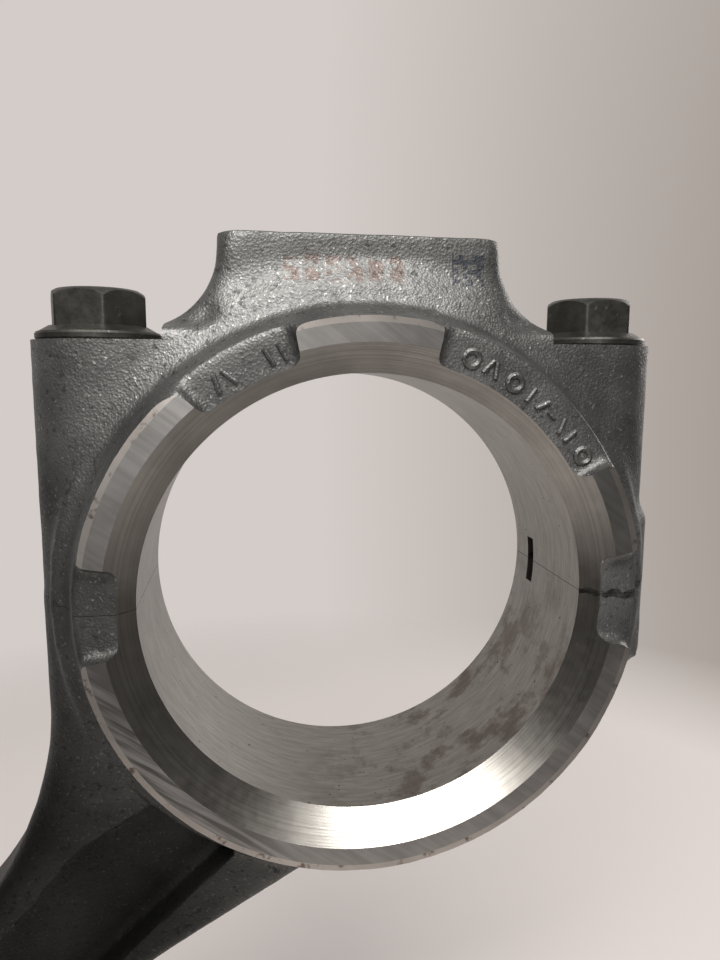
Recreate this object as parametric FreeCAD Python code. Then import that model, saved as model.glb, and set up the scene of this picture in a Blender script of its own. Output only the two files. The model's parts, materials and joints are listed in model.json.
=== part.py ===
import FreeCAD, Part
import math
import os

from FreeCAD import Vector

# A connecting rod for a large diesel engine. The big end is split at an angle to the shank.
# Origin: centre of the big-end bore. +Y runs along the bore, +Z along the cap bolts towards the cap,
# and X lies in the split face. The shank leaves towards -X and -Z. Everything is in millimetres.

# Big end
big_bore_radius = 52.0
big_end_width = 54.0  # over the two thrust faces
bore_chamfer = 6.5
thrust_band = 12.2  # from the bore to the rim of the thrust face
ring_draft = 3.3  # how much the forged ring widens from the thrust face down to the body
collar_width = 3.4  # a low collar rings the big end where its wall meets the body
collar_height = 1.2
window_depth = 2.6  # forged windows lie this much below the thrust faces

# Windows left unmachined between the thrust pads, as start and end angles from +X towards +Z
windows = [(-11.5, 9.5), (30.0, 75.5), (106.0, 130.0), (170.0, 189.0)]

# Cap bolts, their seats and their bosses
bolt_radius = 7.0
bolt_hole_clearance = 0.3  # in the cap
thread_clearance = 0.1  # in the rod
wall_beside_bolt = 1.7  # between the bolt hole and the big-end bore
boss_wall = 7.9
seat_rise = 7.0  # the bolt seats above the crown of the bore
seat_allowance = 3.0  # forging cut away to make each seat
seat_clearance = 4.4  # cutter radius beyond the bolt's flange
seat_corner = 4.0
thread_depth = 33.0  # how far a bolt reaches below the split
blind_depth = 4.0  # hole below the bolt's tip
drill_point = 118.0  # included angle at the bottom of the hole
hole_chamfer = 1.0

# Bolt heads
flange_radius = 14.1
flange_rim = 2.0
flange_cone = 1.3
head_across_flats = 20.0
head_height = 8.4
head_edge = 0.9  # the hexagon's corners are turned down by this much at the top
waist_radius = 6.4
guide_length = 9.0  # full diameter length where the bolt crosses the split
bolt_lead = 1.0  # chamfers at the bolt's tip and above the guide
head_foot = 1.0  # the flange's cone ends this far outside the hexagon's flats
head_crown = 0.5  # the flat on top of the head ends this far inside them
head_turns = {"bolt_left": 16.0, "bolt_right": -28.0}  # from -Y towards +X

# Pad on the crown of the cap
cap_section = 31.5  # from the bore to the top of the pad
pad_half_width = 33.4
pad_half_thickness = 13.0
pad_corner = 6.0
flare_radius = 18.0

# The right-hand boss: its lower end, and the low pad across the split
boss_straight = 24.0
boss_depth = 48.0
boss_round = 16.0
boss_tip = 5.0  # radius of the flat at the boss's lower end
side_pad_height = 1.9
side_pad_top = 19.0
side_pad_bottom = -22.0
side_pad_reach = 6.0  # the pad lies outside the bolt axis by this much

# Groove for a bearing shell's locating lug
lug_width = 4.0
lug_length = 12.5
lug_depth = 1.6
lug_offset = 10.0

# Shank
rod_angle = 49.0  # below -X
centre_distance = 267.0
shank_half_thickness = 14.0
web_half_thickness = 5.0
shank_start = 128.0  # distances along the shank from the big-end centre
shank_half_width = 19.2
shank_taper = 1.3  # degrees each side
rib_width = 8.0
rib_edge = 4.5  # rounding along the outer edges of the ribs
boss_edge = 12.6  # rounding that follows the left-hand boss, fading into the rib's
upper_flare = 80.0  # radius from the left boss into the shank
lower_flare = 110.0
lower_flare_angle = 19.0  # between the shank and the edge that runs to the ring
lower_flare_rise = 4.2  # that edge passes this far outside the bore
pocket_lead = 23.0  # from the ring's foot to where the pocket reaches full width
pocket_mouth = 4.0  # where the pocket's upper edge meets the ring, to the lower side
pocket_gap = 1.0  # between the ring's foot and the pocket's end wall
pocket_corner = 9.0

# Small end
pin_radius = 27.5
bush_wall = 2.5
press_bite = 0.02
eye_wall = 9.0
eye_width = 46.0
eye_draft = 2.0  # the eye narrows by this much from the shank out to each face
bush_recess = 0.5
bush_chamfer = 1.0
eye_chamfer = 1.5
eye_flare = 40.0
oil_hole_radius = 3.0

# Sizes that follow from the ones above
half_width = big_end_width / 2
thrust_radius = big_bore_radius + thrust_band
ring_radius = thrust_radius + ring_draft
bolt_hole_radius = bolt_radius + bolt_hole_clearance
thread_hole_radius = bolt_radius + thread_clearance
bolt_offset = big_bore_radius + wall_beside_bolt + bolt_hole_radius
boss_radius = bolt_hole_radius + boss_wall
seat_height = big_bore_radius + seat_rise
shoulder_height = seat_height + seat_allowance
seat_radius = flange_radius + seat_clearance
pad_top = big_bore_radius + cap_section
eye_bore_radius = pin_radius + bush_wall
eye_radius = eye_bore_radius + eye_wall
shank_end_half_width = shank_half_width - (centre_distance - shank_start) * math.tan(
    math.radians(shank_taper)
)
along = Vector(-math.cos(math.radians(rod_angle)), 0, -math.sin(math.radians(rod_angle)))
across = Vector(math.sin(math.radians(rod_angle)), 0, -math.cos(math.radians(rod_angle)))
eye_centre = along * centre_distance
beyond = 4 * centre_distance  # larger than the whole rod, for half-space cuts
overrun = 1.0  # cutters pass this far beyond the faces they cut
tolerance = 0.01  # for picking out edges by their size


def shank_point(s, t):
    """A point s along the shank and t to its lower side, in the plane of the parting line."""
    return along * s + across * t


def cylinder_y(radius, low, high, centre=Vector(0, 0, 0)):
    return Part.makeCylinder(radius, high - low, centre + Vector(0, low, 0), Vector(0, 1, 0))


def cylinder_z(radius, low, high, x):
    return Part.makeCylinder(radius, high - low, Vector(x, 0, low), Vector(0, 0, 1))


def slab(x_low, x_high, y_low, y_high, z_low, z_high):
    corner = Vector(x_low, y_low, z_low)
    return Part.makeBox(x_high - x_low, y_high - y_low, z_high - z_low, corner)


def thicken(wire, low, high):
    """Extrudes a closed wire in the XZ plane from y = low to y = high."""
    face = Part.Face(wire)
    face.translate(Vector(0, low, 0))
    return face.extrude(Vector(0, high - low, 0))


def outline(corners):
    """A closed wire through (point, radius) corners, each rounded by a tangent arc of its radius."""
    edges = []
    stops = []
    count = len(corners)
    for i, (point, radius) in enumerate(corners):
        back = (corners[i - 1][0] - point).normalize()
        ahead = (corners[(i + 1) % count][0] - point).normalize()
        if radius == 0:
            stops.append((point, point))
            continue
        half_turn = back.getAngle(ahead) / 2
        bisector = (back + ahead).normalize()
        reach = radius / math.tan(half_turn)
        start = point + back * reach
        end = point + ahead * reach
        middle = point + bisector * (radius / math.sin(half_turn) - radius)
        edges.append(Part.Arc(start, middle, end).toShape())
        stops.append((start, end))
    for i in range(count):
        start = stops[i][1]
        end = stops[(i + 1) % count][0]
        edges.append(Part.LineSegment(start, end).toShape())
    return Part.Wire(Part.__sortEdges__(edges))


def turned(profile, centre, axis):
    """Revolves a closed (radius, height) profile about an axis through centre."""
    side = Vector(1, 0, 0)
    points = [centre + side * radius + axis * height for radius, height in profile]
    face = Part.Face(Part.makePolygon(points + [points[0]]))
    return face.revolve(centre, axis, 360)


def crossing(point_a, heading_a, point_b, heading_b):
    """Where two lines in the XZ plane cross."""
    gap = point_b - point_a
    turn = heading_a.x * heading_b.z - heading_a.z * heading_b.x
    reach = (gap.x * heading_b.z - gap.z * heading_b.x) / turn
    return point_a + heading_a * reach


def ring_blank():
    """The forged ring round the big-end bore, with its drafted outer wall and its collar."""
    crest = boss_radius + collar_height
    collar = ring_radius + collar_width
    half = [
        (0, half_width),
        (thrust_radius, half_width),
        (ring_radius, crest),
        (collar, crest),
        (collar + collar_height, boss_radius),
    ]
    other_half = [(radius, -height) for radius, height in reversed(half)]
    return turned(half + other_half, Vector(0, 0, 0), Vector(0, 1, 0))


def cap_blank():
    """The cap's two bolt bosses, the body between them and the pad on its crown."""
    body = slab(-bolt_offset, bolt_offset, -boss_radius, boss_radius, 0, shoulder_height)
    for side in (-1, 1):
        body = body.fuse(cylinder_z(boss_radius, 0, shoulder_height, side * bolt_offset))
    reach = pad_half_width + flare_radius
    pad = slab(-reach, reach, -pad_half_thickness, pad_half_thickness, 0, pad_top)
    arc_height = shoulder_height + flare_radius
    for side in (-1, 1):
        middle = Vector(side * reach, 0, arc_height)
        hollow = cylinder_y(flare_radius, -boss_radius, boss_radius, middle)
        inner = pad_half_width * side
        outer = (reach + flare_radius) * side
        x_low, x_high = sorted((inner, outer))
        above = slab(x_low, x_high, -boss_radius, boss_radius, arc_height, arc_height + cap_section)
        pad = pad.cut(hollow).cut(above)
    upright = [
        edge
        for edge in pad.Edges
        if edge.BoundBox.ZLength > pad_corner
        and edge.BoundBox.ZMax > shoulder_height
        and edge.BoundBox.YLength < tolerance
    ]
    pad = pad.makeFillet(pad_corner, upright)
    return body.fuse(pad)


def right_boss():
    """The rod's half of the right-hand bolt boss, with its rounded lower end and low side pad."""
    top = Vector(bolt_offset, 0, 0)
    corners = [
        (top, 0),
        (top + Vector(boss_radius, 0, 0), 0),
        (top + Vector(boss_radius, 0, -boss_straight), boss_round),
        (top + Vector(boss_tip, 0, -boss_depth), boss_tip),
        (top + Vector(0, 0, -boss_depth), 0),
    ]
    return Part.Face(outline(corners)).revolve(top, Vector(0, 0, 1), 360)


def side_pad():
    """The low pad that stands out of the right-hand boss on both sides of the split."""
    rim = boss_radius + side_pad_height
    profile = [
        (0, side_pad_bottom),
        (rim, side_pad_bottom),
        (rim, side_pad_top - side_pad_height * 2),
        (boss_radius, side_pad_top),
        (0, side_pad_top),
    ]
    pad = turned(profile, Vector(bolt_offset, 0, 0), Vector(0, 0, 1))
    x_low = bolt_offset + side_pad_reach
    return pad.common(slab(x_low, x_low + 2 * rim, -rim, rim, side_pad_bottom, side_pad_top))


def shank_blank():
    """The flat forging from the left-hand boss and the ring to the small end, with its pockets."""
    taper = math.radians(shank_taper)
    upper_heading = along * math.cos(taper) + across * math.sin(taper)
    lower_heading = along * math.cos(taper) - across * math.sin(taper)
    upper_start = shank_point(shank_start, -shank_half_width)
    lower_start = shank_point(shank_start, shank_half_width)
    boss_side = Vector(-bolt_offset - boss_radius, 0, 0)
    upper_corner = crossing(boss_side, Vector(0, 0, -1), upper_start, upper_heading)
    turn = math.radians(lower_flare_angle)
    edge_heading = along * math.cos(turn) - across * math.sin(turn)
    edge_normal = along * math.sin(turn) + across * math.cos(turn)
    edge_point = edge_normal * (big_bore_radius + lower_flare_rise)
    lower_corner = crossing(edge_point, edge_heading, lower_start, lower_heading)
    corners = [
        (boss_side, 0),
        (upper_corner, upper_flare),
        (shank_point(centre_distance, -shank_end_half_width), 0),
        (shank_point(centre_distance, shank_end_half_width), 0),
        (lower_corner, lower_flare),
        (edge_point, 0),
        (Vector(0, 0, 0), 0),
    ]
    plate = thicken(outline(corners), -shank_half_thickness, shank_half_thickness)
    plate = plate.makeFillet(boss_edge, rib_edge, flare_edges(plate, upper_flare))
    plate = plate.makeFillet(rib_edge, flare_edges(plate, lower_flare))
    for side in (-1, 1):
        low, high = sorted((side * web_half_thickness, side * 2 * shank_half_thickness))
        plate = plate.cut(thicken(pocket_outline(), low, high))
    return plate


def flare_edges(plate, radius):
    """The two edges of the shank forging that follow a flare of this radius."""
    arcs = [edge for edge in plate.Edges if edge.Curve.TypeId == "Part::GeomCircle"]
    return [
        edge
        for edge in arcs
        if abs(edge.Curve.Radius - radius) < tolerance and edge.BoundBox.YLength < tolerance
    ]


def pocket_outline():
    """The pocket that makes the shank an I-beam. Its big end runs under the ring."""
    ring_foot = ring_radius + pocket_gap
    full = ring_foot + pocket_lead
    end = eye_flare_start()
    half = shank_half_width - rib_width
    end_half = half - (end - shank_start) * math.tan(math.radians(shank_taper))
    corners = [
        (shank_point(ring_foot - pocket_lead, pocket_mouth), 0),
        (shank_point(full, -half), pocket_lead / 2),
        (shank_point(end, -end_half), pocket_corner),
        (shank_point(end, end_half), pocket_corner),
        (shank_point(shank_start, half + pocket_gap), pocket_lead),
        (shank_point(ring_foot, half + rib_width), 0),
        (shank_point(ring_foot - pocket_lead, half + rib_width), 0),
    ]
    return outline(corners)


def eye_flare_start():
    """Where the shank starts to widen into the small-end eye, as a distance along the shank."""
    reach = eye_radius + eye_flare
    rise = shank_end_half_width + eye_flare
    return centre_distance - math.sqrt(reach**2 - rise**2)


def eye_blank():
    """The small-end eye and the flares that join it to the shank."""
    face = eye_width / 2
    profile = [
        (0, -face),
        (eye_radius - eye_draft, -face),
        (eye_radius, -shank_half_thickness),
        (eye_radius, shank_half_thickness),
        (eye_radius - eye_draft, face),
        (0, face),
    ]
    eye = turned(profile, eye_centre, Vector(0, 1, 0))
    start = eye_flare_start()
    reach = eye_radius + eye_flare
    touch_s = centre_distance - (centre_distance - start) * eye_radius / reach
    touch_t = (shank_end_half_width + eye_flare) * eye_radius / reach
    corners = [
        shank_point(start, 0),
        shank_point(start, -touch_t),
        shank_point(touch_s, -touch_t),
        shank_point(centre_distance, 0),
        shank_point(touch_s, touch_t),
        shank_point(start, touch_t),
    ]
    wire = Part.makePolygon(corners + [corners[0]])
    flare = thicken(wire, -shank_half_thickness, shank_half_thickness)
    for side in (-1, 1):
        centre = shank_point(start, side * (shank_end_half_width + eye_flare))
        flare = flare.cut(cylinder_y(eye_flare, -shank_half_thickness, shank_half_thickness, centre))
    return eye.fuse(flare)


def ring_point(radius, angle):
    """A point round the big-end bore, at an angle in degrees from +X towards +Z."""
    turn = math.radians(angle)
    return Vector(radius * math.cos(turn), 0, radius * math.sin(turn))


def window_cut(start, end, side):
    """One forged window in a thrust face: a sector of a ring, cut down by the window's depth."""
    inner = big_bore_radius - overrun
    outer = ring_radius + boss_radius
    middle = (start + end) / 2
    inside = [ring_point(inner, angle) for angle in (start, middle, end)]
    outside = [ring_point(outer, angle) for angle in (end, middle, start)]
    edges = [
        Part.Arc(*inside).toShape(),
        Part.LineSegment(inside[-1], outside[0]).toShape(),
        Part.Arc(*outside).toShape(),
        Part.LineSegment(outside[-1], inside[0]).toShape(),
    ]
    floor = side * (half_width - window_depth)
    low, high = sorted((floor, side * (half_width + overrun)))
    return thicken(Part.Wire(edges), low, high)


def bore_cut(radius, width, chamfer, centre):
    """A bore along Y with a 45 degree chamfer at each end."""
    half = width / 2
    profile = [
        (0, -half - overrun),
        (radius + chamfer + overrun, -half - overrun),
        (radius, -half + chamfer),
        (radius, half - chamfer),
        (radius + chamfer + overrun, half + overrun),
        (0, half + overrun),
    ]
    return turned(profile, centre, Vector(0, 1, 0))


def seat_cut(x):
    """The flat seat under a bolt's flange, with a rounded corner at its wall."""
    cutter = cylinder_z(seat_radius, seat_height, seat_height + cap_section, x)
    rim = [edge for edge in cutter.Edges if abs(edge.BoundBox.ZMax - seat_height) < tolerance]
    return cutter.makeFillet(seat_corner, rim)


def bolt_hole_cut(x):
    """The clearance hole through the cap and the threaded hole in the rod below it."""
    upper = cylinder_z(bolt_hole_radius, 0, shoulder_height, x)
    bottom = -thread_depth - blind_depth
    tip = thread_hole_radius / math.tan(math.radians(drill_point / 2))
    profile = [
        (0, 0),
        (thread_hole_radius + hole_chamfer, 0),
        (thread_hole_radius, -hole_chamfer),
        (thread_hole_radius, bottom),
        (0, bottom - tip),
    ]
    return upper.fuse(turned(profile, Vector(x, 0, 0), Vector(0, 0, 1)))


def lug_cut():
    """The locating groove across the split on the right-hand wall of the bore."""
    y_low = lug_offset - lug_width / 2
    reach = big_bore_radius + lug_depth
    half = lug_length / 2
    return slab(big_bore_radius - lug_depth, reach, y_low, y_low + lug_width, -half, half)


def machining():
    """Everything that is cut out of the joined cap and rod."""
    cuts = [bore_cut(big_bore_radius, big_end_width, bore_chamfer, Vector(0, 0, 0)), lug_cut()]
    for side in (-1, 1):
        cuts.append(seat_cut(side * bolt_offset))
        cuts.append(bolt_hole_cut(side * bolt_offset))
        cuts += [window_cut(start, end, side) for start, end in windows]
    return cuts


def bearing_cap():
    blank = cap_blank().fuse([ring_blank(), side_pad()]).cut(machining())
    upper = slab(-beyond, beyond, -beyond, beyond, 0, beyond)
    return blank.common(upper).removeSplitter()


def rod_body():
    left_column = cylinder_z(boss_radius, -boss_depth, 0, -bolt_offset)
    blank = shank_blank().fuse([left_column, right_boss(), side_pad(), eye_blank(), ring_blank()])
    eye_cut = bore_cut(eye_bore_radius, eye_width, eye_chamfer, eye_centre)
    oil_start = eye_centre + along * pin_radius
    oil_hole = Part.makeCylinder(oil_hole_radius, 2 * eye_wall, oil_start, along)
    blank = blank.cut(machining() + [eye_cut, oil_hole])
    lower = slab(-beyond, beyond, -beyond, beyond, -beyond, 0)
    return blank.common(lower).removeSplitter()


def small_end_bush():
    half = eye_width / 2 - bush_recess
    outer = eye_bore_radius + press_bite
    tube = cylinder_y(outer, -half, half, eye_centre)
    tube = tube.cut(bore_cut(pin_radius, 2 * half, bush_chamfer, eye_centre))
    oil_start = eye_centre + along * (pin_radius - overrun)
    oil_hole = Part.makeCylinder(oil_hole_radius, 2 * bush_wall, oil_start, along)
    return tube.cut(oil_hole)


def bolt(x, turn):
    """A flanged cap bolt: hexagon head, waisted shank, guide across the split, and threaded end."""
    rim_top = seat_height + flange_rim
    hex_base = rim_top + flange_cone
    head_top = hex_base + head_height
    corner = head_across_flats / math.sqrt(3)
    centre = Vector(x, 0, 0)
    points = []
    for k in range(7):
        angle = math.radians(turn - 90 + k * 60)
        reach = Vector(corner * math.cos(angle), corner * math.sin(angle), rim_top)
        points.append(centre + reach)
    hexagon = Part.Face(Part.makePolygon(points)).extrude(Vector(0, 0, head_top - rim_top))
    crown = [
        (0, rim_top - overrun),
        (corner + overrun, rim_top - overrun),
        (corner + overrun, head_top - head_edge),
        (head_across_flats / 2 - head_crown, head_top),
        (0, head_top),
    ]
    head = hexagon.common(turned(crown, centre, Vector(0, 0, 1)))
    half_guide = guide_length / 2
    stem = [
        (0, -thread_depth),
        (bolt_radius - bolt_lead, -thread_depth),
        (bolt_radius, -thread_depth + bolt_lead),
        (bolt_radius, half_guide),
        (waist_radius, half_guide + bolt_lead),
        (waist_radius, seat_height),
        (flange_radius, seat_height),
        (flange_radius, rim_top),
        (head_across_flats / 2 + head_foot, hex_base),
        (0, hex_base),
    ]
    return turned(stem, centre, Vector(0, 0, 1)).fuse(head).removeSplitter()


nodes = {"rod_body": rod_body(), "bearing_cap": bearing_cap(), "small_end_bush": small_end_bush()}
nodes["bolt_left"] = bolt(-bolt_offset, head_turns["bolt_left"])
nodes["bolt_right"] = bolt(bolt_offset, head_turns["bolt_right"])

os.makedirs("parts", exist_ok=True)
for name, shape in nodes.items():
    shape.exportStep(f"parts/{name}.step")
    print(name, "solids", len(shape.Solids), "valid", shape.isValid(), "volume", round(shape.Volume))
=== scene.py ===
import json
import math
import time

import bmesh
import bpy
from mathutils import Matrix, Vector, noise


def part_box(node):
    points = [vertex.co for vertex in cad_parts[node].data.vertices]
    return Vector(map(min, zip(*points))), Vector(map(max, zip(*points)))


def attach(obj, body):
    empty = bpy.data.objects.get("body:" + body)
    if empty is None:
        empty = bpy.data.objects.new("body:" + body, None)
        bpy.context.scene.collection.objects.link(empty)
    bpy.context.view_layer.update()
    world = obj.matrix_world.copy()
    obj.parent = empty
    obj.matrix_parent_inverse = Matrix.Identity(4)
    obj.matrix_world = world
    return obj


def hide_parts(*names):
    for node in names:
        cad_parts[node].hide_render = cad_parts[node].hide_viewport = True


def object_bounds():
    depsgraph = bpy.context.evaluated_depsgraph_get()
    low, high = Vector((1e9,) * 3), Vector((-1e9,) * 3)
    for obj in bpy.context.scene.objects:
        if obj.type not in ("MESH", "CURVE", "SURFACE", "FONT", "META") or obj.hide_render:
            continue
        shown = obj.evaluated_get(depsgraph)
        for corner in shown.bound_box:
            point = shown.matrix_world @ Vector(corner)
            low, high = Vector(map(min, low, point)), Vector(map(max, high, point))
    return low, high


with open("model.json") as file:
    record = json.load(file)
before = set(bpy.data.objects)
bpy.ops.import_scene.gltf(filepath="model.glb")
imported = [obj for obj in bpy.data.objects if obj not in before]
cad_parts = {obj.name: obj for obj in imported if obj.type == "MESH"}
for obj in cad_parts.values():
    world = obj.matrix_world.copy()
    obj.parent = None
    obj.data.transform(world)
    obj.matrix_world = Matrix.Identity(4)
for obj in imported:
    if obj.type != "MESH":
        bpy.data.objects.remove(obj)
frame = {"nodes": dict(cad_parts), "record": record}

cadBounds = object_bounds()
started = time.time()
mm = 0.001  # shapes are worked in millimetres and scaled down once, at the end


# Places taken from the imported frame, in millimetres

def nodeBox(node):
    low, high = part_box(node)
    return low / mm, high / mm


mounts = {m["name"]: m for m in frame["record"]["mounts"]}
capLow, capHigh = nodeBox("bearing_cap")
rodLow, rodHigh = nodeBox("rod_body")
bushLow, bushHigh = nodeBox("small_end_bush")
boltLow, boltHigh = nodeBox("bolt_right")
boreRadius = mounts["big_end_bore"]["dims"]["r_mm"]
pinRadius = mounts["small_end_bore"]["dims"]["r_mm"]
faceY = capHigh.y  # half the width over the thrust faces
boltX = (boltLow.x + boltHigh.x) / 2
flangeRadius = (boltHigh.x - boltLow.x) / 2
bossRadius = -capLow.x - boltX
eyeCentre = Vector(mounts["small_end_bore"]["pos_m"]) / mm
alongShank = eyeCentre.normalized()
origin = Vector((0, 0, 0))
print("frame read: bore", boreRadius, "bolts at", round(boltX, 2), "centres", round(eyeCentre.length, 1))


# Mesh tools

def makePiece(bm, name, materials):
    bmesh.ops.remove_doubles(bm, verts=bm.verts, dist=0.0005)
    bmesh.ops.recalc_face_normals(bm, faces=bm.faces)
    mesh = bpy.data.meshes.new(name)
    bm.to_mesh(mesh)
    bm.free()
    for material in materials:
        mesh.materials.append(material)
    piece = bpy.data.objects.new(name, mesh)
    bpy.context.scene.collection.objects.link(piece)
    return piece


def addSpin(bm, points, centre=origin, axis="Y", steps=160, slots=None):  # points are (radius, height)
    up = Vector((0, 1, 0)) if axis == "Y" else Vector((0, 0, 1))
    known = set(bm.faces)
    verts = [bm.verts.new(centre + Vector((r, 0, 0)) + up * h) for r, h in points]
    edges = [bm.edges.new((verts[i - 1], verts[i])) for i in range(len(verts))]
    bmesh.ops.spin(
        bm, geom=verts + edges, cent=centre, axis=up, angle=math.tau, steps=steps, use_merge=True)
    made = [f for f in bm.faces if f not in known]
    if slots:
        for face in made:
            middle = face.calc_center_median() - centre
            height = middle.dot(up)
            face.material_index = slots((middle - up * height).length, height)


def addPrism(bm, points, low, high):  # points are (x, z)
    face = bm.faces.new([bm.verts.new((x, low, z)) for x, z in points])
    made = bmesh.ops.extrude_face_region(bm, geom=[face], use_keep_orig=True)
    moved = [g for g in made["geom"] if isinstance(g, bmesh.types.BMVert)]
    bmesh.ops.translate(bm, verts=moved, vec=(0, high - low, 0))


def addBlock(bm, low, high, slot=0):
    known = set(bm.faces)
    low, high = Vector(low), Vector(high)
    size = high - low
    place = Matrix.Translation((low + high) / 2) @ Matrix.Diagonal((size.x, size.y, size.z, 1))
    bmesh.ops.create_cube(bm, size=1, matrix=place)
    for face in bm.faces:
        if face not in known:
            face.material_index = slot


def addRod(bm, start, end, radius, segments=24):  # a plain round bar between two points
    line = end - start
    place = Matrix.Translation((start + end) / 2) @ line.to_track_quat("Z", "Y").to_matrix().to_4x4()
    bmesh.ops.create_cone(
        bm, cap_ends=True, segments=segments, radius1=radius, radius2=radius,
        depth=line.length, matrix=place)


def addCadCopy(bm, node):
    part = bmesh.new()
    part.from_mesh(frame["nodes"][node].data)
    bmesh.ops.remove_doubles(part, verts=part.verts, dist=1e-6)
    bmesh.ops.scale(part, vec=(1 / mm, 1 / mm, 1 / mm), verts=part.verts)
    copy = bpy.data.meshes.new("copy")
    part.to_mesh(copy)
    part.free()
    bm.from_mesh(copy)
    bpy.data.meshes.remove(copy)


def applyModifiers(piece):
    graph = bpy.context.evaluated_depsgraph_get()
    mesh = bpy.data.meshes.new_from_object(piece.evaluated_get(graph), depsgraph=graph)
    old = piece.data
    piece.modifiers.clear()
    piece.data = mesh
    bpy.data.meshes.remove(old)


def combine(piece, tool, operation="DIFFERENCE"):
    modifier = piece.modifiers.new("cut", "BOOLEAN")
    modifier.object = tool
    modifier.operation = operation
    modifier.solver = "MANIFOLD"
    before = len(piece.data.polygons)
    applyModifiers(piece)
    if len(piece.data.polygons) < before / 4:  # a cut that eats its piece stops the script
        raise RuntimeError("a cut went wrong on " + piece.name + " with " + tool.name)
    bpy.data.objects.remove(tool)


def ringPoint(radius, degrees):
    turn = math.radians(degrees)
    return radius * math.cos(turn), radius * math.sin(turn)


def finishPiece(piece, crease):  # metres, and smooth shading between the creases
    piece.data.transform(Matrix.Scale(mm, 4))
    bm = bmesh.new()
    bm.from_mesh(piece.data)
    limit = math.radians(crease)
    for face in bm.faces:
        face.smooth = True
    for edge in bm.edges:
        edge.smooth = len(edge.link_faces) == 2 and edge.calc_face_angle(0) < limit
    bm.to_mesh(piece.data)
    bm.free()
    print(piece.name, "has", len(piece.data.polygons), "faces")


# Material tools

def linear(hexColour):
    out = []
    for i in (1, 3, 5):
        c = int(hexColour[i:i + 2], 16) / 255
        out.append(c / 12.92 if c <= 0.04045 else ((c + 0.055) / 1.055) ** 2.4)
    return (*out, 1.0)


def addNode(material, kind, settings=None, **inputs):  # a link is given as (node, output name)
    node = material.node_tree.nodes.new("ShaderNode" + kind)
    for key, value in (settings or {}).items():
        setattr(node, key, value)
    for key, value in inputs.items():
        byNumber = key[0] == "i" and key[1:].isdigit()
        socket = node.inputs[int(key[1:]) if byNumber else key.replace("_", " ")]
        if isinstance(value, tuple) and len(value) == 2 and isinstance(value[0], bpy.types.Node):
            material.node_tree.links.new(value[0].outputs[value[1]], socket)
        else:
            socket.default_value = value
    return node


def newMaterial(name):
    material = bpy.data.materials.new(name)
    material.use_nodes = True
    material.node_tree.nodes.clear()
    return material


def setRamp(node, stops):
    ramp = node.color_ramp
    while len(ramp.elements) < len(stops):
        ramp.elements.new(0.5)
    for element, (place, colour) in zip(ramp.elements, stops):
        element.position = place
        element.color = linear(colour) if isinstance(colour, str) else (colour, colour, colour, 1)
    return node


def surface(material, colour, metallic, roughness, normal=None, **values):
    shader = addNode(material, "BsdfPrincipled", Metallic=metallic, **values)
    links = material.node_tree.links
    for key, value in (("Base Color", colour), ("Roughness", roughness)):
        if isinstance(value, tuple) and isinstance(value[0], bpy.types.Node):
            links.new(value[0].outputs[value[1]], shader.inputs[key])
        else:
            shader.inputs[key].default_value = linear(value) if isinstance(value, str) else value
    if normal:
        links.new(normal.outputs["Normal"], shader.inputs["Normal"])
    output = material.node_tree.nodes.new("ShaderNodeOutputMaterial")
    links.new(shader.outputs[0], output.inputs[0])
    return material


def perMm(size):  # texture scale for a pattern that repeats about every size millimetres
    return 1 / (size * mm)


def objectSpace(material):
    return addNode(material, "TexCoord"), "Object"


def mixColour(material, factor, a, b, blend="MIX"):
    node = addNode(material, "Mix", {"data_type": "RGBA", "blend_type": blend})
    links = material.node_tree.links
    for socket, value in ((node.inputs[0], factor), (node.inputs[6], a), (node.inputs[7], b)):
        if isinstance(value, tuple) and isinstance(value[0], bpy.types.Node):
            links.new(value[0].outputs[value[1]], socket)
        else:
            socket.default_value = linear(value) if isinstance(value, str) else value
    return node, 2


def maths(material, operation, a, b=0.0, clamp=False):
    node = addNode(material, "Math", {"operation": operation, "use_clamp": clamp})
    for i, value in enumerate((a, b)):
        if isinstance(value, tuple):
            material.node_tree.links.new(value[0].outputs[value[1]], node.inputs[i])
        else:
            node.inputs[i].default_value = value
    return node, 0


def radiusAbout(material, axis="Y", centre=(0, 0, 0)):  # distance from an axis, in metres
    moved = addNode(material, "VectorMath", {"operation": "SUBTRACT"}, i0=objectSpace(material), i1=centre)
    keep = {"Y": (1, 0, 1), "Z": (1, 1, 0)}[axis]
    flat = addNode(material, "VectorMath", {"operation": "MULTIPLY"}, i0=(moved, 0), i1=keep)
    return addNode(material, "VectorMath", {"operation": "LENGTH"}, i0=(flat, 0)), "Value"


def noiseAt(material, size, detail=3.0, roughness=0.55, stretch=None):
    space = objectSpace(material)
    if stretch:
        space = addNode(material, "Mapping", Vector=space, Scale=stretch), 0
    return addNode(
        material, "TexNoise", Vector=space, Scale=perMm(size), Detail=detail, Roughness=roughness), 0


def bumpFrom(material, height, strength, distance, under=None):
    node = addNode(material, "Bump", Height=height, Strength=strength, Distance=distance * mm)
    if under:
        material.node_tree.links.new(under.outputs["Normal"], node.inputs["Normal"])
    return node


smudge = {"wander": 4.0, "halfWidth": 0.9, "fromX": 52.0, "colour": "#1d1b19"}


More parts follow.
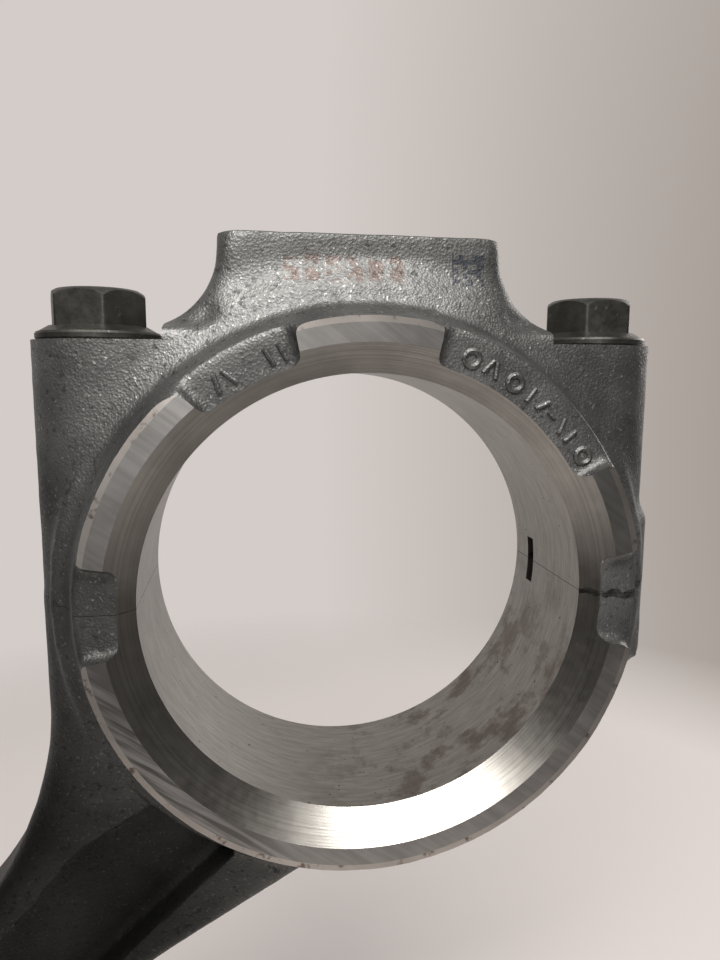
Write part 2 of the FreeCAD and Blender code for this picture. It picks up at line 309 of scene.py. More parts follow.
def splitSmudge(m, colour):  # oil creeps out of the split on the side away from the shank
    space = addNode(m, "SeparateXYZ", i0=objectSpace(m))
    wave = maths(m, "MULTIPLY_ADD", noiseAt(m, 4, 3), smudge["wander"] * mm)
    wave[0].inputs[2].default_value = -smudge["wander"] / 2 * mm
    near = maths(m, "COMPARE", (space, "Z"), wave)
    near[0].inputs[2].default_value = smudge["halfWidth"] * mm
    farSide = maths(m, "GREATER_THAN", (space, "X"), smudge["fromX"] * mm)
    streaky = setRamp(addNode(m, "ValToRGB", i0=noiseAt(m, 3, 4)), [(0.35, 0.2), (0.6, 0.85)])
    mask = maths(m, "MULTIPLY", maths(m, "MULTIPLY", near, farSide), (streaky, 0))
    return mixColour(m, mask, colour, smudge["colour"])


# Worn print on the front of the crown, in millimetres
crownPrint = {
    "behindY": -12.0, "pitch": 2.4, "gap": 0.7, "cell": 1.1, "code": "#2c3442",
    "areas": (("strokes", -5.2, 75.4, 14.6, 3.1, 0.38), ("cells", 24.4, 75.6, 3.9, 3.6, 0.6)),
}
shankShadeReach = (12, 92)  # along the shank from the bore's centre: painted shade deepens between these, so the forging darkens towards the shank and its lower left


# Hot-forged alloy steel, shot blasted: a dull grey skin of small dents with tiny glints, with painted
# shade darkening it towards the shank
def blastedForging(name, light, dark, glint, shankShadeColour, ink):
    m = newMaterial(name)
    patches = noiseAt(m, 22, 4)
    grain = noiseAt(m, 0.8, 2, 0.6)
    dents = addNode(m, "TexVoronoi", Vector=objectSpace(m), Scale=perMm(0.6))
    base = addNode(m, "ValToRGB", i0=patches)
    setRamp(base, [(0.3, dark), (0.7, light)])
    flecks = setRamp(addNode(m, "ValToRGB", i0=grain), [(0.62, 0.0), (0.74, 1.0)])
    colour = mixColour(m, maths(m, "MULTIPLY", (flecks, 0), 0.6), (base, 0), glint)
    pits = setRamp(addNode(m, "ValToRGB", i0=noiseAt(m, 1.6, 2)), [(0.3, 1.0), (0.42, 0.0)])
    colour = mixColour(m, (pits, 0), colour, dark)
    space = addNode(m, "SeparateXYZ", i0=objectSpace(m))
    front = maths(m, "LESS_THAN", (space, "Y"), crownPrint["behindY"] * mm)
    for kind, x, z, halfX, halfZ, strength in crownPrint["areas"]:
        inside = maths(m, "COMPARE", (space, "X"), x * mm)
        inside[0].inputs[2].default_value = halfX * mm
        level = maths(m, "COMPARE", (space, "Z"), z * mm)
        level[0].inputs[2].default_value = halfZ * mm
        area = maths(m, "MULTIPLY", maths(m, "MULTIPLY", inside, level), front)
        if kind == "strokes":  # a plain row of worn print, not letters
            step = maths(m, "PINGPONG", (space, "X"), crownPrint["pitch"] * mm)
            gap = maths(m, "GREATER_THAN", step, crownPrint["gap"] * mm)
            strokes = maths(m, "GREATER_THAN", noiseAt(m, 2.2, 1), 0.47)
            area = maths(m, "MULTIPLY", maths(m, "MULTIPLY", area, gap), strokes)
            colour = mixColour(m, maths(m, "MULTIPLY", area, strength), colour, ink)
        else:
            size = (crownPrint["cell"] * mm, 1, crownPrint["cell"] * mm)
            cells = addNode(m, "VectorMath", {"operation": "SNAP"}, i0=objectSpace(m), i1=size)
            dots = maths(m, "GREATER_THAN", (addNode(m, "TexWhiteNoise", i0=(cells, 0)), 0), 0.5)
            area = maths(m, "MULTIPLY", area, dots)
            colour = mixColour(m, maths(m, "MULTIPLY", area, strength), colour, crownPrint["code"])
    colour = splitSmudge(m, colour)
    reach = addNode(m, "VectorMath", {"operation": "DOT_PRODUCT"}, i0=objectSpace(m), i1=alongShank)
    shankShadeRamp = addNode(m, "MapRange", Value=(reach, "Value"))
    shankShadeRamp.inputs["From Min"].default_value = shankShadeReach[0] * mm
    shankShadeRamp.inputs["From Max"].default_value = shankShadeReach[1] * mm
    # painted shade: the colour is multiplied darker along the shank, standing in for the shank lying in
    # shade below the big end
    shankShaded = mixColour(m, 1.0, colour, shankShadeColour, "MULTIPLY")
    colour = mixColour(m, maths(m, "MULTIPLY", (shankShadeRamp, 0), 0.94), colour, shankShaded)
    rough = addNode(m, "MapRange", Value=grain)
    rough.inputs["To Min"].default_value = 0.62
    rough.inputs["To Max"].default_value = 0.40
    broad = bumpFrom(m, noiseAt(m, 3.2, 3), 0.22, 0.4)
    fine = bumpFrom(m, (dents, "Distance"), 0.38, 0.22, broad)
    fine = bumpFrom(m, grain, 0.45, 0.2, fine)
    return surface(m, colour, 0.8, (rough, 0), fine)


# Fine-milled steel: bright, with slanting parallel cutter marks, scored coarse at the lower left
def milledFace(name, light, dark):
    m = newMaterial(name)
    tilt = addNode(m, "Mapping", Vector=objectSpace(m), Rotation=(0, math.radians(-36), 0))
    tilt = addNode(m, "Mapping", Vector=(tilt, 0), Scale=(0.06, 1, 1))
    marks = addNode(m, "TexNoise", Vector=(tilt, 0), Scale=perMm(1.5), Detail=2), 0
    base = setRamp(addNode(m, "ValToRGB", i0=marks), [(0.35, dark), (0.65, light)])
    corner = addNode(m, "VectorMath", {"operation": "DOT_PRODUCT"}, i0=objectSpace(m), i1=(-0.8, 0, -0.6))
    coarse = addNode(m, "MapRange", Value=(corner, "Value"))
    coarse.inputs["From Min"].default_value = 46 * mm
    coarse.inputs["From Max"].default_value = 60 * mm
    inRing = maths(m, "LESS_THAN", radiusAbout(m), (bigEnd["thrustRadius"] + 3) * mm)
    scored = setRamp(addNode(m, "ValToRGB", i0=marks), [(0.42, 0.7), (0.56, 0.0)])
    scored = maths(m, "MULTIPLY", maths(m, "MULTIPLY", (scored, 0), (coarse, 0)), inRing)
    base = mixColour(m, scored, (base, 0), "#4d4b48")
    rim = maths(m, "GREATER_THAN", radiusAbout(m), (bigEnd["thrustRadius"] - 1.5) * mm)
    spots = setRamp(addNode(m, "ValToRGB", i0=noiseAt(m, 3, 4)), [(0.33, "#7d6e62"), (0.42, "#d2ccc5")])
    base = mixColour(m, maths(m, "MULTIPLY", maths(m, "MULTIPLY", rim, inRing), 0.8), base, (spots, 0))
    cloud = setRamp(addNode(m, "ValToRGB", i0=noiseAt(m, 14, 4)), [(0.35, 0.75), (0.7, 1.0)])
    colour = mixColour(m, 1.0, base, (cloud, 0), "MULTIPLY")
    rough = addNode(m, "MapRange", Value=noiseAt(m, 9, 4))
    rough.inputs["To Min"].default_value = 0.30
    rough.inputs["To Max"].default_value = 0.48
    return surface(m, colour, 1.0, (rough, 0), bumpFrom(m, marks, 0.18, 0.04))


# Turned steel: concentric tool marks about the bore, so that light runs round in streaks
def turnedChamfer(name, light, dark, pitch, axis="Y", centre=(0, 0, 0), depth=0.05):
    m = newMaterial(name)
    radius = radiusAbout(m, axis, centre)
    rings = maths(m, "SINE", maths(m, "MULTIPLY", radius, math.tau * perMm(pitch)))
    uneven = noiseAt(m, 2.5, 3)
    streak = addNode(m, "TexNoise", {"noise_dimensions": "1D"}, W=radius, Scale=perMm(0.7), Detail=3)
    base = setRamp(addNode(m, "ValToRGB", i0=(streak, 0)), [(0.3, dark), (0.65, light)])
    cloud = setRamp(addNode(m, "ValToRGB", i0=noiseAt(m, 12, 5)), [(0.3, 0.72), (0.7, 1.0)])
    colour = mixColour(m, 1.0, (base, 0), (cloud, 0), "MULTIPLY")
    colour = splitSmudge(m, colour)
    rough = addNode(m, "MapRange", Value=uneven)
    rough.inputs["To Min"].default_value = 0.26
    rough.inputs["To Max"].default_value = 0.40
    ridges = bumpFrom(m, rings, 0.12, depth)
    return surface(m, colour, 1.0, (rough, 0), bumpFrom(m, (streak, 0), 0.14, 0.04, ridges))


# Honed parent bore: satin grey with brown oil stains and pinprick rust
def honedBore(name, light, dark, stain):
    m = newMaterial(name)
    grooves = noiseAt(m, 1.0, 3, 0.6, (0.15, 1.0, 0.15))
    base = setRamp(addNode(m, "ValToRGB", i0=grooves), [(0.35, dark), (0.65, light)])
    wide = noiseAt(m, 16, 6, 0.7)
    low = addNode(m, "VectorMath", {"operation": "DOT_PRODUCT"}, i0=objectSpace(m), i1=(0.6, 0, -0.8))
    height = addNode(m, "MapRange", Value=(low, "Value"))
    height.inputs["From Min"].default_value = 0.55 * boreRadius * mm
    height.inputs["From Max"].default_value = 0.95 * boreRadius * mm
    blots = setRamp(addNode(m, "ValToRGB", i0=wide), [(0.49, 0.0), (0.58, 1.0)])
    blot = maths(m, "MULTIPLY", (blots, 0), (height, 0))
    colour = mixColour(m, maths(m, "MULTIPLY", blot, 0.62), (base, 0), stain)
    specks = setRamp(addNode(m, "ValToRGB", i0=noiseAt(m, 1.5, 2)), [(0.25, 1.0), (0.31, 0.0)])
    colour = mixColour(m, (specks, 0), colour, stain)
    rough = addNode(m, "MapRange", Value=wide)
    rough.inputs["To Min"].default_value = 0.30
    rough.inputs["To Max"].default_value = 0.52
    return surface(m, colour, 1.0, (rough, 0), bumpFrom(m, grooves, 0.2, 0.04))


# Cracked steel: the split is broken, not cut, so its faces are coarse bright grains
def fractureFace(name, light, dark):
    m = newMaterial(name)
    grain = addNode(m, "TexVoronoi", Vector=objectSpace(m), Scale=perMm(0.9))
    base = setRamp(addNode(m, "ValToRGB", i0=(grain, "Distance")), [(0.1, light), (0.7, dark)])
    lumps = bumpFrom(m, noiseAt(m, 2.5, 4), 0.7, 0.6)
    return surface(m, (base, 0), 0.9, 0.42, bumpFrom(m, (grain, "Distance"), 0.8, 0.4, lumps))


# Phosphated alloy-steel bolt: soft black-grey, rubbed bright and a little blue where tools touched
def phosphatedSteel(name, light, dark, worn):
    m = newMaterial(name)
    base = setRamp(addNode(m, "ValToRGB", i0=noiseAt(m, 5, 5, 0.65)), [(0.32, dark), (0.68, light)])
    rub = setRamp(addNode(m, "ValToRGB", i0=noiseAt(m, 1.6, 4, 0.6)), [(0.63, 0.0), (0.74, 1.0)])
    colour = mixColour(m, maths(m, "MULTIPLY", (rub, 0), 0.5), (base, 0), worn)
    rough = addNode(m, "MapRange", Value=noiseAt(m, 1.2, 3))
    rough.inputs["To Min"].default_value = 0.34
    rough.inputs["To Max"].default_value = 0.56
    return surface(m, colour, 0.9, (rough, 0), bumpFrom(m, noiseAt(m, 0.7, 2), 0.25, 0.12))


# Bored tin bronze: warm, with fine rings left by the boring tool
def boredBronze(name, light, dark):
    m = newMaterial(name)
    along = addNode(m, "SeparateXYZ", i0=objectSpace(m))
    streak = addNode(m, "TexNoise", {"noise_dimensions": "1D"}, W=(along, "Y"), Scale=perMm(0.6), Detail=3)
    base = setRamp(addNode(m, "ValToRGB", i0=(streak, 0)), [(0.3, dark), (0.7, light)])
    cloud = setRamp(addNode(m, "ValToRGB", i0=noiseAt(m, 9, 5)), [(0.3, 0.7), (0.7, 1.0)])
    colour = mixColour(m, 1.0, (base, 0), (cloud, 0), "MULTIPLY")
    return surface(m, colour, 1.0, 0.3, bumpFrom(m, (streak, 0), 0.3, 0.05))


# Rod and cap: one forging, machined, then cracked apart at the bolts' split
bigEnd = {
    "voxel": 1.0,
    "smoothing": 5,
    "filletSmoothing": 26,
    "stock": 1.6,  # left on faces that get machined
    "chamfer": 6.5,
    "thrustRadius": 64.2,
    "windowFloor": 24.4,
    "padStock": 8.0,
    "pads": [(130, 170, 8, 1.5), (75.5, 106, 5, 5), (9.7, 30, 1.5, 3), (189, 349, 2, 2)],
    "rollAngles": (63, 117),
    "broadWave": 12.0,
    "broadDepth": 0.22,
    "smallWave": 4.0,
    "smallDepth": 0.16,
}
cap = {
    "seatHeight": boltLow.z + 92.0,  # a bolt is 92 long under its head
    "shoulder": 62.0,
    "padHalfWidth": 33.4,
    "flareRadius": 18.0,
    "padHalfThickness": 13.0,
    "padCorner": 2.6,
    "seatRadius": 18.5,
    "seatCorner": 4.0,
    "flatFrom": 45.2,
    "flankRound": 4.5,
    "holeRadius": 7.3,
}
marks = {
    "radius": 59.6, "barRadius": 0.62, "ringRadius": 1.7, "rings": [34, 57, 68],
    "bars": [  # angle round the bore, lean and length
        (39.5, 0, 3.6), (42.5, 25, 3.6), (46, 90, 2.2), (49, -25, 3.6), (52.5, 0, 3.6), (62, 20, 3.6),
        (64, -20, 3.6), (109, 10, 4.0), (112, 10, 4.0), (121, 22, 4.0), (124, -14, 4.0)],
}
threadedHole = {"radius": 7.1, "depth": 37.0, "mouth": 1.0}
smallEnd = {"faceY": 23.0, "seatRadius": 30.0, "chamfer": 1.5, "outerRadius": 37.0, "oilHole": 3.0}


# the fifth colour is the painted shade that is multiplied in towards the shank
forgedSkin = blastedForging(
    "shot-blasted forged steel", "#848584", "#575857", "#cfcecb", "#4a4b47", "#5a3a2c")
thrustSteel = milledFace("milled thrust face steel", "#b0afad", "#a09f9c")
chamferSteel = turnedChamfer("turned chamfer steel", "#a6a49f", "#95938e", 0.5)
boreSteel = honedBore("honed bore steel", "#9e9b96", "#8b8883", "#5a4c40")
seatSteel = turnedChamfer("spot-faced seat steel", "#a3a09d", "#777572", 0.6)
holeSteel = turnedChamfer("drilled hole steel", "#8a8580", "#5e5b58", 0.8)
splitSteel = fractureFace("cracked split steel", "#a8a5a2", "#5c5a58")
rodMaterials = [forgedSkin, thrustSteel, chamferSteel, boreSteel, seatSteel, holeSteel, splitSteel]
skin, thrust, chamfer, bore, seat, hole, split = range(len(rodMaterials))
print("materials made", round(time.time() - started), "s")


def addPad(bm, start, end, roundStart, roundEnd, low, high):
    inner, outer = boreRadius - bigEnd["padStock"], bigEnd["thrustRadius"]
    points = [ringPoint(inner, end), ringPoint(inner, start)]
    if end - start > 90:
        points = [ringPoint(inner, end - i * (end - start) / 24) for i in range(25)]
    steps = 40 + int(end - start)
    for i in range(steps + 1):
        degrees = start + (end - start) * i / steps
        drop = 0.0
        for edgeAt, size in ((start, roundStart), (end, roundEnd)):
            reach = abs(math.radians(degrees - edgeAt)) * outer
            if reach < size:
                drop = max(drop, size - math.sqrt(size ** 2 - (size - reach) ** 2))
        points.append(ringPoint(outer - drop, degrees))
    addPrism(bm, points, low, high)


def addRoll(bm):  # the crown swells towards the ring, front and back
    part = bmesh.new()
    first, last = bigEnd["rollAngles"]
    profile = [(66, -16.4), (71.2, -16.4), (77.5, -12.9), (77.5, 12.9), (71.2, 16.4), (66, 16.4)]
    verts = []
    for r, y in profile:
        x, z = ringPoint(r, first)
        verts.append(part.verts.new((x, y, z)))
    edges = [part.edges.new((verts[i - 1], verts[i])) for i in range(len(verts))]
    bmesh.ops.spin(
        part, geom=verts + edges, cent=origin, axis=(0, -1, 0), angle=math.radians(last - first), steps=48)
    bmesh.ops.holes_fill(part, edges=[e for e in part.edges if e.is_boundary])
    bmesh.ops.recalc_face_normals(part, faces=part.faces)
    mesh = bpy.data.meshes.new("roll")
    part.to_mesh(mesh)
    part.free()
    bm.from_mesh(mesh)
    bpy.data.meshes.remove(mesh)


def forgingBlank():
    bm = bmesh.new()
    addCadCopy(bm, "rod_body")
    addCadCopy(bm, "bearing_cap")
    inner = boreRadius - bigEnd["padStock"]
    floor, top = bigEnd["windowFloor"], faceY + bigEnd["stock"]
    addSpin(bm, [
        (inner, -floor), (inner, floor), (64.0, floor),
        (66.5, 15.0), (66.5, -15.0), (64.0, -floor)])
    for start, end, roundStart, roundEnd in bigEnd["pads"]:
        addPad(bm, start, end, roundStart, roundEnd, -top, -floor + 4)
        addPad(bm, start, end, roundStart, roundEnd, floor - 4, top)
    for side in (-1, 1):  # solid columns close the bolt holes and the split
        foot, head = Vector((side * boltX, 0, -20)), Vector((side * boltX, 0, cap["shoulder"]))
        addRod(bm, foot, head, bossRadius, 64)
        addRod(bm, foot - Vector((0, 0, 24)), foot + Vector((0, 0, 2)), threadedHole["radius"] + 1.4, 48)
    addRoll(bm)
    width, radius, shoulder = cap["padHalfWidth"], cap["flareRadius"], cap["shoulder"]
    half = bossRadius - 0.2
    addBlock(bm, (-boltX, -half, 40), (boltX, half, shoulder))
    flare = [(width + radius, shoulder - 6)]
    for i in range(13):  # the crown's hollow flank
        turn = math.radians(270 - 90 * i / 12)
        flare.append((
            width + radius + radius * math.cos(turn),
            shoulder + radius + radius * math.sin(turn)))
    corner = cap["padCorner"]
    flare += [
        (width, capHigh.z - corner), (width - 0.3 * corner, capHigh.z - 0.3 * corner),
        (width - corner, capHigh.z)]
    outline = flare + [(-x, z) for x, z in reversed(flare)]
    depth = cap["padHalfThickness"]
    known = set(bm.verts)
    addPrism(bm, outline, -depth, depth)
    flanks = []
    for edge in bm.edges:
        a, b = (vert.co for vert in edge.verts)
        level, oneSide = abs(a.y - b.y) < 0.1, a.x * b.x > 0
        if edge.verts[0] not in known and level and oneSide and min(a.z, b.z) > shoulder - 5:
            flanks.append(edge)
    bmesh.ops.bevel(
        bm, geom=flanks, offset=cap["flankRound"], affect="EDGES", segments=4, profile=0.5, material=-1)
    eyeHalf = Vector((0, smallEnd["faceY"] + 1.2, 0))
    addRod(bm, eyeCentre - eyeHalf, eyeCentre + eyeHalf, smallEnd["outerRadius"] - 1, 96)
    blank = makePiece(bm, "forging blank", rodMaterials)
    remesh = blank.modifiers.new("skin", "REMESH")
    remesh.mode = "VOXEL"
    remesh.voxel_size = bigEnd["voxel"]
    smooth = blank.modifiers.new("soften", "SMOOTH")
    smooth.factor = 0.5
    smooth.iterations = bigEnd["smoothing"]
    applyModifiers(blank)
    soft = blank.vertex_groups.new(name="die fillets")
    where = []
    for vert in blank.data.vertices:
        x, y, z = vert.co
        if math.hypot(x, z) > 66.3 and abs(y) > 10.3 and abs(x) < 73 and -45 < z < 77:
            where.append(vert.index)
    soft.add(where, 1.0, "REPLACE")
    fillet = blank.modifiers.new("fillets", "SMOOTH")
    fillet.factor = 0.5
    fillet.iterations = bigEnd["filletSmoothing"] // 1
    fillet.vertex_group = soft.name
    applyModifiers(blank)
    places = []
    for vert in blank.data.vertices:  # dents go inwards only, so the forging never outgrows the frame
        broad = 0.5 + 0.5 * noise.noise(vert.co / bigEnd["broadWave"])
        small = 0.5 + 0.5 * noise.noise(vert.co / bigEnd["smallWave"])
        dent = bigEnd["broadDepth"] * broad + bigEnd["smallDepth"] * small
        places.extend(vert.co - vert.normal * dent)
    blank.data.vertices.foreach_set("co", places)
    blank.data.update()
    print("forging blank has", len(blank.data.polygons), "faces", round(time.time() - started), "s")
    return blank


def machine(blank):
    bm = bmesh.new()
    for side in (-1, 1):
        y = sorted((side * faceY, side * (faceY + 20)))
        addBlock(bm, (-120, y[0], -120), (120, y[1], 120), thrust)
        y = sorted((side * smallEnd["faceY"], side * (smallEnd["faceY"] + 20)))
        reach = smallEnd["outerRadius"] + 8
        low = (eyeCentre.x - reach, y[0], eyeCentre.z - reach)
        addBlock(bm, low, (eyeCentre.x + reach, y[1], eyeCentre.z + reach), thrust)
    combine(blank, makePiece(bm, "face cutters", rodMaterials))
    print("faces milled", round(time.time() - started), "s")
    bm = bmesh.new()
    c = bigEnd["chamfer"]
    profile = [
        (0, -faceY - 3), (boreRadius + c + 3, -faceY - 3), (boreRadius, -faceY + c),
        (boreRadius, faceY - c), (boreRadius + c + 3, faceY + 3), (0, faceY + 3)]
    addSpin(bm, profile, steps=256, slots=lambda r, h: bore if abs(h) < faceY - c else chamfer)
    e, c = smallEnd, smallEnd["chamfer"]
    profile = [
        (0, -e["faceY"] - 3), (e["seatRadius"] + c + 3, -e["faceY"] - 3),
        (e["seatRadius"], -e["faceY"] + c),
        (e["seatRadius"], e["faceY"] - c), (e["seatRadius"] + c + 3, e["faceY"] + 3), (0, e["faceY"] + 3)]
    addSpin(
        bm, profile, eyeCentre, steps=128,
        slots=lambda r, h: bore if abs(h) < e["faceY"] - c else chamfer)
    t = threadedHole
    floor, r, corner = cap["seatHeight"], cap["seatRadius"], cap["seatCorner"]
    profile = [
        (0, -t["depth"] - 4), (t["radius"], -t["depth"]), (t["radius"], -t["mouth"]),
        (t["radius"] + t["mouth"], 0), (cap["holeRadius"], 0.01), (cap["holeRadius"], floor)]
    for i in range(9):
        turn = math.radians(270 + 90 * i / 8)
        profile.append((r - corner + corner * math.cos(turn), floor + corner + corner * math.sin(turn)))
    profile += [(r, 110), (0, 110)]
    for side in (-1, 1):
        addSpin(
            bm, profile, Vector((side * boltX, 0, 0)), "Z", 96,
            slots=lambda radius, h: hole if h < floor - 0.1 else seat)
    combine(blank, makePiece(bm, "bore cutters", rodMaterials))
    bm = bmesh.new()
    for side in (-1, 1):
        x = sorted((side * cap["flatFrom"], side * 100))
        addBlock(bm, (x[0], -30, floor), (x[1], 30, 110), seat)
    combine(blank, makePiece(bm, "seat cutters", rodMaterials))
    print("bores cut", round(time.time() - started), "s")
    bm = bmesh.new()
    addBlock(bm, (boreRadius - 4, 8, -6.25), (boreRadius + 1.6, 12, 6.25), seat)
    oilStart = eyeCentre + alongShank * pinRadius
    addRod(bm, oilStart, oilStart + alongShank * 20, smallEnd["oilHole"])
    combine(blank, makePiece(bm, "groove cutters", rodMaterials))
    print("grooves cut", round(time.time() - started), "s")


def addMarks(blank):  # plain raised bars and rings in two windows, where a forging has its marks
    y = -bigEnd["windowFloor"]
    bm = bmesh.new()

    def bar(degrees, radius, lean, length):
        x, z = ringPoint(radius, degrees)
        turn = math.radians(degrees + lean)
        half = Vector((math.cos(turn), 0, math.sin(turn))) * length / 2
        addRod(bm, Vector((x, y, z)) - half, Vector((x, y, z)) + half, marks["barRadius"], 8)

    for degrees, lean, length in marks["bars"]:
        bar(degrees, marks["radius"], lean, length)
    for degrees in marks["rings"]:
        x, z = ringPoint(marks["radius"], degrees)
        r, t = marks["ringRadius"], marks["barRadius"]
        profile = [(r - t, -0.6), (r - t, 0.25), (r, 0.25 + t * 0.7), (r + t, 0.25), (r + t, -0.6)]
        addSpin(bm, [(a, -b) for a, b in profile], Vector((x, y, z)), steps=24)
    combine(blank, makePiece(bm, "marks", rodMaterials), "UNION")
    print("marks raised", round(time.time() - started), "s")


def splitOff(blank, name, above):
    bm = bmesh.new()
    bm.from_mesh(blank.data)
    geom = list(bm.verts) + list(bm.edges) + list(bm.faces)
    gap = 0.06 if above else -0.06  # half of the hairline at the split
    cut = bmesh.ops.bisect_plane(
        bm, geom=geom, plane_co=(0, 0, gap), plane_no=(0, 0, 1), clear_inner=above, clear_outer=not above)
    rim = [g for g in cut["geom_cut"] if isinstance(g, bmesh.types.BMEdge)]
    filled = bmesh.ops.triangle_fill(bm, use_beauty=True, edges=rim)
    for face in filled["geom"]:
        if isinstance(face, bmesh.types.BMFace):
            face.material_index = split
    return makePiece(bm, name, rodMaterials)


blank = forgingBlank()
machine(blank)
addMarks(blank)
rodPiece = splitOff(blank, "rodForging", False)
capPiece = splitOff(blank, "capForging", True)
bpy.data.objects.remove(blank)
for piece, node, body in ((rodPiece, "rod_body", "rod"), (capPiece, "bearing_cap", "cap")):
    finishPiece(piece, 35)
    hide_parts(node)
    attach(piece, body)
print("rod and cap made", round(time.time() - started), "s")


# Bolts: flanged hexagon heads on waisted stems
boltSizes = {
    "across": 20.0, "rim": 2.0, "cone": 1.3, "head": 8.4,
    "radius": 7.0, "waist": 6.4, "guide": 9.0, "thread": 33.0, "pitch": 1.5, "threadDepth": 0.85,
}
boltTurns = {"bolt_left": 16.0, "bolt_right": -28.0}  # degrees
pieceNames = {"bolt_left": "flangeBoltLeft", "bolt_right": "flangeBoltRight"}
boltSteel = phosphatedSteel("phosphated bolt steel", "#6b6a66", "#4a4a47", "#a3a7aa")


def makeBolt(name, x, turn):
    b = boltSizes
    seatZ = cap["seatHeight"] + 0.02  # the flange clears its seat by a hair
    rimTop = seatZ + b["rim"]
    coneTop = rimTop + b["cone"]
    headTop = coneTop + b["head"]
    half = b["guide"] / 2
    centre = Vector((x, 0, 0))
    r, depth = b["radius"], b["threadDepth"]
    profile = [(0, -b["thread"]), (r - depth - 0.3, -b["thread"])]
    z = -b["thread"] + 0.4
    while z < -half - b["pitch"]:  # plain rings stand for the thread's ridges
        crest = r - 0.05
        profile += [(r - depth, z), (crest, z + b["pitch"] * 0.42), (crest, z + b["pitch"] * 0.58)]
        z += b["pitch"]
    profile += [
        (r - depth, z), (r, -half), (r, half), (b["waist"], half + 1), (b["waist"], seatZ - 1.2),
        (b["waist"] + 0.5, seatZ - 0.3), (b["waist"] + 0.9, seatZ),
        (flangeRadius - 0.5, seatZ), (flangeRadius - 0.05, seatZ + 0.45),
        (flangeRadius, rimTop - 0.6), (flangeRadius - 0.35, rimTop - 0.1),
        (flangeRadius - 0.9, rimTop + 0.08),
        (b["across"] / 2 + 1.1, coneTop), (b["across"] / 2 - 2, coneTop + 0.4), (0, coneTop + 0.4)]
    bm = bmesh.new()
    addSpin(bm, profile, centre, "Z", 96)
    stem = makePiece(bm, pieceNames[name], [boltSteel])
    corner = b["across"] / math.sqrt(3)
    bm = bmesh.new()
    height = headTop - rimTop
    turned = Matrix.Rotation(math.radians(turn), 4, "Z")
    bmesh.ops.create_cone(
        bm, cap_ends=True, segments=6, radius1=corner, radius2=corner, depth=height,
        matrix=Matrix.Translation((x, 0, rimTop + height / 2)) @ turned)
    upright = [e for e in bm.edges if abs(e.verts[0].co.z - e.verts[1].co.z) > 1]
    bmesh.ops.bevel(bm, geom=upright, offset=0.5, affect="EDGES", segments=3, profile=0.5, material=-1)
    head = makePiece(bm, "head", [boltSteel])
    flat = b["across"] / 2
    bm = bmesh.new()
    crown = [
        (0, rimTop - 1), (corner + 2, rimTop - 1), (corner + 2, headTop - 3.4), (corner, headTop - 2.1),
        (corner - 0.8, headTop - 1.15), (flat, headTop - 0.6), (flat - 0.8, headTop - 0.14),
        (flat - 1.5, headTop), (0, headTop)]
    addSpin(bm, crown, centre, "Z", 96)
    combine(head, makePiece(bm, "crown", [boltSteel]), "INTERSECT")
    combine(stem, head, "UNION")
    finishPiece(stem, 28)
    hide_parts(name)
    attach(stem, {"bolt_left": "left_bolt", "bolt_right": "right_bolt"}[name])


makeBolt("bolt_left", -boltX, boltTurns["bolt_left"])
makeBolt("bolt_right", boltX, boltTurns["bolt_right"])
print("bolts made", round(time.time() - started), "s")


# Small-end bush
bush = {"wall": 2.5, "chamfer": 1.0}
bronze = boredBronze("bored bronze", "#c9a36c", "#94703f")
bm = bmesh.new()
half, c = bushHigh.y, bush["chamfer"]
outer = pinRadius + bush["wall"]
addSpin(bm, [
    (outer, -half), (outer, half), (pinRadius + c, half), (pinRadius, half - c),
    (pinRadius, -half + c), (pinRadius + c, -half)], eyeCentre)
bushPiece = makePiece(bm, "bronzeBush", [bronze])
bm = bmesh.new()
drillStart, drillEnd = (eyeCentre + alongShank * r for r in (pinRadius - 3, outer + 3))
addRod(bm, drillStart, drillEnd, smallEnd["oilHole"])
combine(bushPiece, makePiece(bm, "oil drill", [bronze]))
finishPiece(bushPiece, 30)
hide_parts("small_end_bush")
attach(bushPiece, "rod")
print("bush made", round(time.time() - started), "s")


# Studio: a pale floor, a long soft light overhead in front, two smaller ones and a plain pale surround
studio = {
    "floorRadius": 0.95, "fadeFrom": 0.36, "fadeTo": 0.56, "floorCentre": (0, 0.13, 0), "floorGlow": 0.45,
    "mainLight": 7.2, "mainPlace": (-0.06, -0.46, 0.58), "mainAlong": (0.93, 0.024, 0.368),
    "mainLong": 0.62, "mainWide": 0.22,
    "frontLight": 0.65, "frontPlace": (-0.07, -0.9, 0.06), "frontSize": 0.16,
    "rightLight": 2.4, "rightPlace": (0.75, 0.45, 0.30), "rightSize": 0.4,
}
bm = bmesh.new()
bmesh.ops.create_circle(bm, cap_ends=True, segments=96, radius=studio["floorRadius"])
floorMesh = bpy.data.meshes.new("studioFloor")
bm.to_mesh(floorMesh)
bm.free()
floorMesh.transform(Matrix.Translation((0, 0, cadBounds[0].z)))
floorPaint = newMaterial("matt studio paper")
cloudy = mixColour(floorPaint, noiseAt(floorPaint, 300, 2), "#c9c4c2", "#c2bdbb")
surface(
    floorPaint, cloudy, 0.0, 0.9,
    Emission_Color=linear("#cbc3bf"), Emission_Strength=studio["floorGlow"])
fade = addNode(floorPaint, "MapRange", Value=radiusAbout(floorPaint, "Z", studio["floorCentre"]))
fade.inputs["From Min"].default_value = studio["fadeFrom"]
fade.inputs["From Max"].default_value = studio["fadeTo"]
clear = addNode(floorPaint, "BsdfTransparent")
nodes = floorPaint.node_tree.nodes
shader = next(n for n in nodes if n.type == "BSDF_PRINCIPLED")
blend = addNode(floorPaint, "MixShader", i0=(fade, 0), i1=(shader, 0), i2=(clear, 0))
paintOut = next(n for n in nodes if n.type == "OUTPUT_MATERIAL")
floorPaint.node_tree.links.new(blend.outputs[0], paintOut.inputs[0])
floorMesh.materials.append(floorPaint)
floorPiece = bpy.data.objects.new("studioFloor", floorMesh)
bpy.context.scene.collection.objects.link(floorPiece)


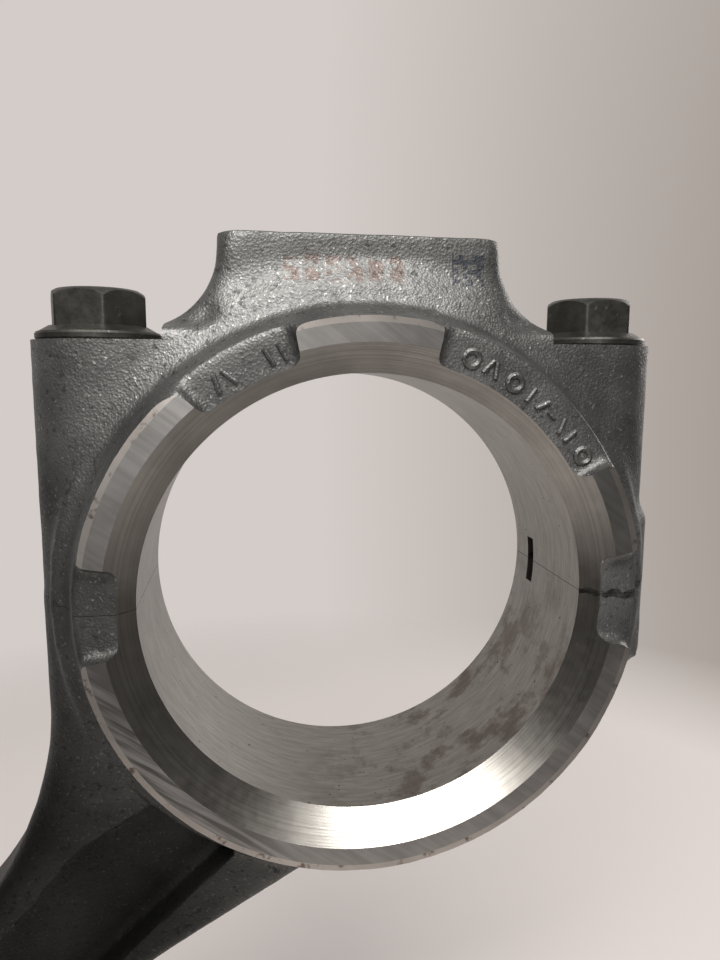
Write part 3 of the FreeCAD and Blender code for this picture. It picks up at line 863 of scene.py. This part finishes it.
def addAreaLight(name, place, longWay, power, sizes, colour):
    data = bpy.data.lights.new(name, "AREA")
    data.energy = power
    data.shape = "RECTANGLE"
    data.size, data.size_y = sizes
    data.color = linear(colour)[:3]
    lamp = bpy.data.objects.new(name, data)
    back = Vector(place).normalized()
    side = (Vector(longWay) - back * back.dot(Vector(longWay))).normalized()
    turned = Matrix((side, back.cross(side), back)).transposed()
    lamp.matrix_world = Matrix.Translation(place) @ turned.to_4x4()
    lamp.visible_camera = False
    bpy.context.scene.collection.objects.link(lamp)


addAreaLight(
    "mainSoftbox", studio["mainPlace"], studio["mainAlong"], studio["mainLight"],
    (studio["mainLong"], studio["mainWide"]), "#fffaf6")
addAreaLight(
    "frontSoftbox", studio["frontPlace"], (1, 0, 0), studio["frontLight"],
    (studio["frontSize"], studio["frontSize"]), "#fffaf8")
addAreaLight(
    "rightSoftbox", studio["rightPlace"], (0, 1, 0), studio["rightLight"],
    (studio["rightSize"], studio["rightSize"]), "#fffaf6")

world = bpy.data.worlds.new("studioSurround")
bpy.context.scene.world = world
world.use_nodes = True
world.node_tree.nodes.clear()
direction = addNode(world, "TexCoord")
compass = addNode(world, "SeparateXYZ", i0=(direction, "Generated"))
facing = addNode(world, "MapRange", Value=(compass, "Y"))
facing.inputs["From Min"].default_value = 0.1
facing.inputs["From Max"].default_value = 0.9
leftward = addNode(world, "MapRange", Value=(compass, "X"))
leftward.inputs["From Min"].default_value = 0.6
leftward.inputs["From Max"].default_value = -0.8
frontRoom = mixColour(world, (leftward, 0), "#474543", "#3b3937")
room = mixColour(world, (facing, 0), frontRoom, "#ccc6c3")
shading = addNode(world, "MapRange", Value=(compass, "X"))
shading.inputs["From Min"].default_value = 0.1
shading.inputs["From Max"].default_value = 0.65
backdrop = mixColour(world, (shading, 0), "#d3ccc8", "#a0978f")
seen = addNode(world, "LightPath")
shown = mixColour(world, (seen, "Is Camera Ray"), room, backdrop)
glow = addNode(world, "Background", i0=shown, Strength=1.0)
worldOut = world.node_tree.nodes.new("ShaderNodeOutputWorld")
world.node_tree.links.new(glow.outputs[0], worldOut.inputs[0])

# Camera, a long arm's length in front of the big end
camera = {
    "place": (-0.0271, -0.18025, 0.05149),
    "right": (0.9880, -0.1542, 0.0052),
    "down": (-0.0171, -0.1429, -0.9896),
    "ahead": (0.1534, 0.9776, -0.1438),
    "lens": 27.07,
}
cameraData = bpy.data.cameras.new("studioCamera")
cameraData.lens = camera["lens"]
cameraData.sensor_width = 36
cameraData.clip_start = 0.01
cameraPiece = bpy.data.objects.new("studioCamera", cameraData)
turned = Matrix((camera["right"], -Vector(camera["down"]), -Vector(camera["ahead"]))).transposed()
cameraPiece.matrix_world = Matrix.Translation(camera["place"]) @ turned.to_4x4()
bpy.context.scene.collection.objects.link(cameraPiece)
bpy.context.scene.camera = cameraPiece
bpy.context.scene.view_settings.view_transform = "Standard"
print("studio made")
